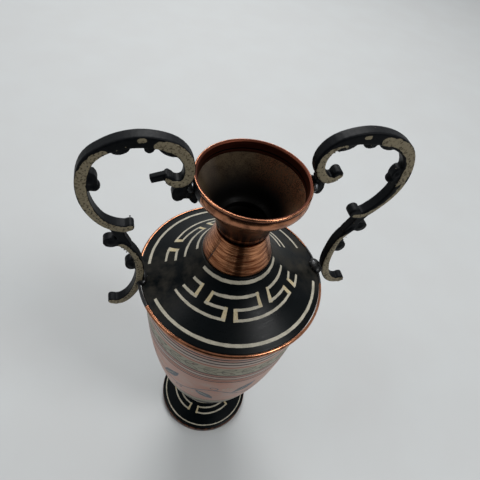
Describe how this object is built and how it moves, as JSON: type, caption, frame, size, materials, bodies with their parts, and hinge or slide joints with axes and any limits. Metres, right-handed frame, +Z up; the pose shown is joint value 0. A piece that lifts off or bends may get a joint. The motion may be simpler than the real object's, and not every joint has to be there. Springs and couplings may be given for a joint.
{
  "type": "two-handled amphora vase",
  "caption": "Slender spun copper amphora on a trumpet foot, with a tented shoulder, a turned collar, a banded flaring mouth and cast scroll handles.",
  "frame": {"origin": "middle of the foot's resting ring, on the table", "axes": "+Z up along the vase's axis, +X towards the handle without a sprue, +Y away from the viewer of the picture"},
  "size_m": [0.1295, 0.09, 0.2386],
  "materials": {
    "black_lacquer": "satin blue-black lacquer on spun copper, with an engraved cream key pattern",
    "painted_copper": "thin pinkish lacquer on spun copper, worn and hazy, with painted bands",
    "bright_copper": "bare turned copper with fine tool grooves",
    "dark_copper": "bare copper gone brown, dusty inside the mouth",
    "cast_black": "black paint on a casting, its faces filed bare to a tan metal in places",
    "solder": "grey soft solder, painted over black where it meets a casting"
  },
  "bodies": {
    "root": {"foot_shell": "black_lacquer", "foot_solder": "solder", "body_bowl": "painted_copper", "shoulder_dome": "black_lacquer", "seam_bead": "bright_copper", "collar_cone": "bright_copper", "neck_solder": "solder", "neck_sleeve": "dark_copper", "mouth_cup": "dark_copper", "rim_ring": "bright_copper", "handle_left": "cast_black", "handle_right": "cast_black", "rim_solder_left": "solder", "rim_solder_right": "solder", "shoulder_solder_left": "solder", "shoulder_solder_right": "solder"}
  },
  "joints": []
}
